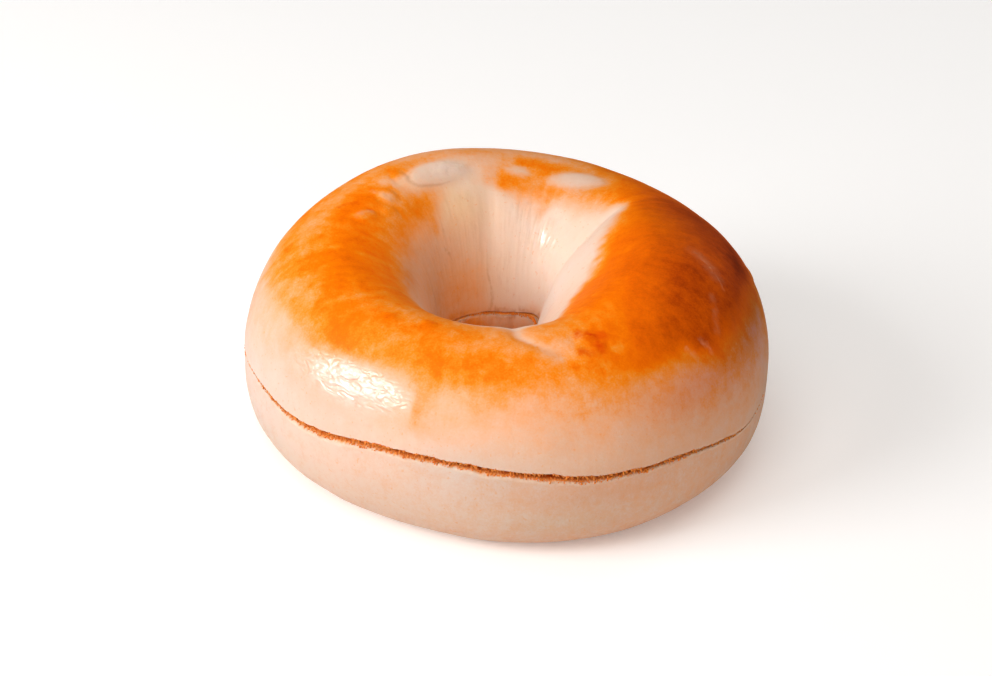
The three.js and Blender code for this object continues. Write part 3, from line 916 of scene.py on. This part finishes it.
def makeHalf(half, material):
    points, place = halfGrid(half)
    mesh = closedGridMesh(half["name"], points)
    bearing, turn, inset = place["bearing"], place["turn"], place["inset"]
    # millimetres outside the edge of the nearer of the two large blisters
    blister = np.full(turn.shape, 9.0)
    # the rings round them show on one side only: the left one's lower left, the right one's lower right
    outline = np.zeros(turn.shape)
    crestRadius = 30  # mm from the middle of the hole
    for spot, sideways, strength in zip(blisters, (0.8, -0.8), (1.0, 0.5)):
        along, up = spotAxes(bearing, turn, spot, crestRadius)
        distance = np.hypot(along, up)
        blister = np.minimum(blister, (distance - 1) * spot[3])
        outline += strength * ramp(sideways * along + 0.6 * up, 0.0, 0.7) * (distance < 1.6)
    fields = {
        "browning": browningOf(bearing, turn, points), "inset": inset, "blister": blister,
        "outline": outline, "glaze": glazeOf(bearing, turn), "hollow": hollowOf(bearing, turn),
        "tone": toneWithShadingOf(bearing, turn), "grain": grain(bearing, turn),
    }
    for name, values in fields.items():
        addAttribute(mesh, name, values)
    mesh.materials.append(material)
    made = addObject(half["name"], mesh)
    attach(made, "root")
    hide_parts(half["node"])
    print(half["name"], "made with", len(mesh.polygons), "faces")


makeHalf(topHalf, makeCrust("brownedCrust", 0.15, 0.22))
makeHalf(bottomHalf, makeCrust("paleCrust", 0.45, 0.55))

# torn crumb standing on both edges of the cut
tufts = {
    "name": "tornCrumb", "sides": 5, "seed": 7,
    # face, way they grow, edge, count, bearings, millimetres inwards of the edge, length, half width
    "rows": [(topFace, -1, "girth", 1100, (-88, 92), (0.10, 1.0), (0.25, 0.85), (0.10, 0.24)),
             (bottomFace, 1, "girth", 1300, (-88, 92), (0.15, 1.4), (0.20, 0.75), (0.10, 0.24)),
             (topFace, -1, "hole", 220, (118, 250), (0.0, 0.5), (0.20, 0.55), (0.08, 0.18)),
             (bottomFace, 1, "hole", 420, (118, 250), (0.0, 0.8), (0.25, 0.65), (0.10, 0.20))],
    "outward": 0.35, "scatter": 0.45,
    "base": (230, 112, 24), "tip": (248, 156, 66),  # display colours
    "scatterRadius": (0.002, 0.001, 0.0005),
}


def edgeSpots(edge, bearing, inward):
    # places that far inwards of the girth or of the waist of the hole, and the way out of the dough
    angle = np.radians(bearing)
    out = np.stack([np.sin(angle), -np.cos(angle), 0 * angle], axis=-1)
    if edge == "girth":
        return out * (girthRadius(bearing) - inward)[:, None], out
    x, y = waistPoint(bearing)
    return np.stack([x, y, 0 * x], axis=-1) + out * inward[:, None], -out


def tuftPoints(random, face, rise, edge, count, bearings, inwards, lengths, widths):
    # cones of two rings and a bent tip, each standing on the face at a random place and lean
    foot, out = edgeSpots(edge, random.uniform(*bearings, count), random.uniform(*inwards, count))
    foot[:, 2] = face(foot[:, 0], foot[:, 1]) - rise * 0.08  # sunk a little into the crumb
    opening = topFace(foot[:, 0], foot[:, 1]) - bottomFace(foot[:, 0], foot[:, 1])
    longest = opening * 0.8 + 0.12  # so that few reach across
    length = np.minimum(random.uniform(*lengths, count), longest)
    axis = out * tufts["outward"] + np.array([0, 0, rise])
    axis += random.normal(0, tufts["scatter"], (count, 3))
    axis /= np.linalg.norm(axis, axis=1, keepdims=True)
    side = np.cross(axis, out)
    side /= np.linalg.norm(side, axis=1, keepdims=True)
    other = np.cross(axis, side)
    around = 2 * np.pi * np.arange(tufts["sides"]) / tufts["sides"]
    spokes = side[:, None] * np.cos(around)[:, None] + other[:, None] * np.sin(around)[:, None]
    width = random.uniform(*widths, count)
    bend = random.normal(0, 0.2, (count, 3)) * length[:, None]
    rings = []
    for share, wide in ((0.0, 1.0), (0.5, 0.7)):
        middle = foot + axis * (length * share)[:, None] + bend * share
        rings.append(middle[:, None] + spokes * (width * wide)[:, None, None])
    tip = foot + axis * length[:, None] + bend
    return np.concatenate([*rings, tip[:, None], foot[:, None]], axis=1)


def makeTufts():
    # every tuft is joined from ring to ring, to its tip and under its foot
    random = np.random.default_rng(tufts["seed"])
    sides = tufts["sides"]
    points = np.concatenate([tuftPoints(random, *row) for row in tufts["rows"]])
    points += np.array([ring["shiftX"], ring["shiftY"], 0])
    here = np.arange(sides)
    beside = (here + 1) % sides
    tip, foot = 2 * sides, 2 * sides + 1
    triangles = np.concatenate([
        np.stack([here, beside, beside + sides], axis=1),
        np.stack([here, beside + sides, here + sides], axis=1),
        np.stack([here + sides, beside + sides, 0 * here + tip], axis=1),
        np.stack([beside, here, 0 * here + foot], axis=1)])
    triangles = (np.arange(len(points)) * (2 * sides + 2))[:, None, None] + triangles
    mesh = bpy.data.meshes.new(tufts["name"])
    corners = (points.reshape(-1, 3) * millimetre).tolist()
    mesh.from_pydata(corners, [], triangles.reshape(-1, 3).tolist())
    share = np.concatenate([np.zeros(sides), np.full(sides, 0.5), [1, 0]])
    addAttribute(mesh, "share", np.tile(share, (len(points), 1)))
    maker = NodeMaker("tornCrumb")
    along = maker.attribute("share")
    grains = maker.noise(1500, 2, 0.5)
    # paler towards the tip, made uneven by grains
    tint = (along + grains * 0.6 - 0.3).limited(0, 1)
    color = maker.painted(fromDisplay(tufts["base"]), tint, tufts["tip"])
    bump = maker.node("ShaderNodeBump", {}, {
        "Strength": 1.0, "Distance": millimetre, "Height": grains * 0.1})
    surface = maker.node("ShaderNodeBsdfPrincipled", {}, {
        "Base Color": color, "Roughness": 0.85 + grains * 0.1, "Normal": bump,
        "Subsurface Weight": 0.2, "Subsurface Radius": tufts["scatterRadius"],
        "Subsurface Scale": 1.0})
    mesh.materials.append(maker.finished(surface))
    made = addObject(tufts["name"], mesh)
    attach(made, "root")
    print(tufts["name"], "made with", len(points), "tufts")


makeTufts()

stage = {"floorRadius": 3.0, "floorColor": (0.92, 0.92, 0.92), "floorGlow": 0.2,
         "worldColor": (1, 0.97, 0.94), "worldStrength": 0.01}
# softboxes: direction, distance and width and height in metres, power, colour, what they act on
softboxes = {
    "keyLight": ((-0.82, -0.34, 0.48), 0.9, (0.5, 0.46), 5.8, (1, 1, 1), "diffuse"),
    "frontFill": ((-0.10, -0.62, 0.78), 1.3, (1.2, 0.9), 7.6, (1, 0.93, 0.87), "diffuse"),
    "topFill": ((0, 0, 1), 1.3, (1.2, 1.2), 6.0, (1, 0.97, 0.94), "diffuse"),
    "leftBackFill": ((-0.8, 0.4, 0.45), 1.0, (0.5, 0.5), 0.7, (1, 1, 1), "diffuse"),
    "rightBackFill": ((0.63, 0.70, 0.34), 1.0, (0.3, 0.5), 1.1, (1, 1, 1), "diffuse"),
    "glintCard": ((-0.82, -0.38, 0.35), 0.9, (0.44, 0.38), 9.0, (1, 1, 1), "gloss"),
    "rimCard": ((0.47, 0.82, 0.33), 1.0, (0.56, 0.03), 0.25, (1, 1, 1), "gloss"),
}


def makeFloor():
    # flat, matt and evenly pale, with a faint glow of its own
    mesh = bpy.data.meshes.new("floor")
    reach = stage["floorRadius"]
    corners = [(-reach, -reach, 0), (reach, -reach, 0), (reach, reach, 0), (-reach, reach, 0)]
    mesh.from_pydata(corners, [], [(0, 1, 2, 3)])
    maker = NodeMaker("paleFloor")
    surface = maker.node("ShaderNodeBsdfPrincipled", {}, {
        "Base Color": (*stage["floorColor"], 1), "Roughness": 0.9,
        "Emission Color": (1, 1, 1, 1), "Emission Strength": stage["floorGlow"]})
    mesh.materials.append(maker.finished(surface))
    made = addObject("floor", mesh)
    made.visible_glossy = False


def makeLights():
    aim = Vector((0, 0, 0.02))
    for name, (direction, distance, size, power, color, acts) in softboxes.items():
        data = bpy.data.lights.new(name, "AREA")
        data.shape = "RECTANGLE"
        data.size, data.size_y = size
        data.energy = power
        data.color = color
        toward = Vector(direction).normalized()
        made = addObject(name, data)
        made.location = aim + toward * distance
        made.rotation_euler = toward.to_track_quat("Z", "Y").to_euler()
        made.visible_glossy = acts == "gloss"
        made.visible_diffuse = acts == "diffuse"
        made.visible_camera = False
    world = bpy.data.worlds.new("studio")
    world.use_nodes = True
    background = world.node_tree.nodes["Background"]
    background.inputs["Color"].default_value = (*stage["worldColor"], 1)
    background.inputs["Strength"].default_value = stage["worldStrength"]
    bpy.context.scene.world = world
    bpy.context.scene.view_settings.view_transform = "Standard"


makeFloor()
makeLights()
print("floor and lights placed")
